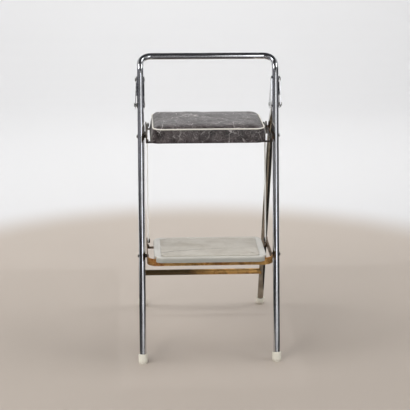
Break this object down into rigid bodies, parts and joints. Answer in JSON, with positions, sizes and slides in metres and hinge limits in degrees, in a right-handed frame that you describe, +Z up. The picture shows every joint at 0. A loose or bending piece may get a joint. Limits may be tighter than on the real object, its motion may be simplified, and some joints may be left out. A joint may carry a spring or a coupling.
{
  "type": "folding step stool chair",
  "caption": "Folding kitchen step stool with a bent tube frame, a padded seat, a step that lifts with it on side links, and a swinging rear frame.",
  "frame": {"origin": "centre of the open stool's footprint, on the floor", "axes": "+Z up, -Y towards the front where the step stands out, +X to the right as seen from the front"},
  "size_m": [0.4182, 0.4922, 0.8551],
  "materials": {
    "chrome_tube": "polished, lightly tarnished",
    "dull_tube": "dull plated",
    "plated_sheet": "satin",
    "zinc": "satin",
    "dark_steel": "dark, satin",
    "rusted_bar": "gold lacquer with rust",
    "seat_bar": "tarnished lacquer with rust",
    "stretcher_metal": "gold lacquer, tarnished",
    "link_metal": "bright",
    "foot_plastic": "matt",
    "vinyl": "marbled vinyl, semi-gloss",
    "piping_vinyl": "semi-gloss",
    "plywood": "raw",
    "tray_enamel": "enamel, worn",
    "tread_rubber": "matt, marbled",
    "cap_plastic": "matt"
  },
  "bodies": {
    "front_frame": {"front_frame": "chrome_tube", "front_foot_left": "foot_plastic", "front_foot_right": "foot_plastic", "hinge_bracket_left": "plated_sheet", "hinge_bracket_right": "plated_sheet", "bracket_rivets": "zinc", "bracket_spacers": "zinc", "rear_pivot_rivets": "zinc", "rear_pivot_bushes": "zinc", "seat_pivot_rivets": "zinc", "step_pivot_rivets": "zinc", "pivot_washers": "dark_steel"},
    "rear_frame": {"rear_leg_left": "dull_tube", "rear_leg_right": "dull_tube", "rear_stretcher": "stretcher_metal", "rear_foot_left": "foot_plastic", "rear_foot_right": "foot_plastic", "seat_rest_pegs": "zinc"},
    "seat": {"seat_arm_left": "seat_bar", "seat_arm_right": "seat_bar", "seat_front_strap": "seat_bar", "seat_back_strap": "seat_bar", "seat_strap_rivets": "zinc", "seat_board": "plywood", "seat_cushion": "vinyl", "seat_piping": "piping_vinyl", "seat_screws": "zinc", "seat_link_rivets": "zinc", "seat_link_caps": "cap_plastic"},
    "step": {"step_carrier": "rusted_bar", "step_strap": "rusted_bar", "step_strap_rivets": "zinc", "step_board": "plywood", "step_tray": "tray_enamel", "tread_mat": "tread_rubber", "step_screws": "zinc", "step_link_rivets": "zinc", "step_link_caps": "cap_plastic"},
    "link_left": {"link_left": "link_metal"},
    "link_right": {"link_right": "link_metal"}
  },
  "joints": [
    {"name": "rear_frame_fold", "type": "hinge", "parent": "front_frame", "child": "rear_frame", "pos_m": [0, -0.02611, 0.70565], "axis": [1, 0, 0], "range_deg": [-33, 0]},
    {"name": "seat_fold", "type": "hinge", "parent": "front_frame", "child": "seat", "pos_m": [0, -0.10096, 0.63098], "axis": [1, 0, 0], "range_deg": [0, 66]},
    {"name": "step_fold", "type": "hinge", "parent": "front_frame", "child": "step", "pos_m": [0, -0.17021, 0.29953], "axis": [1, 0, 0], "range_deg": [0, 66]},
    {"name": "link_left_turn", "type": "hinge", "parent": "seat", "child": "link_left", "pos_m": [0, 0.01504, 0.63798], "axis": [1, 0, 0], "range_deg": [-66, 0]},
    {"name": "link_right_turn", "type": "hinge", "parent": "seat", "child": "link_right", "pos_m": [0, 0.01504, 0.63798], "axis": [1, 0, 0], "range_deg": [-66, 0]}
  ],
  "couplings": [
    {"joint": "step_fold", "follows": "seat_fold", "ratio": 1},
    {"joint": "link_left_turn", "follows": "seat_fold", "ratio": -1},
    {"joint": "link_right_turn", "follows": "seat_fold", "ratio": -1}
  ]
}
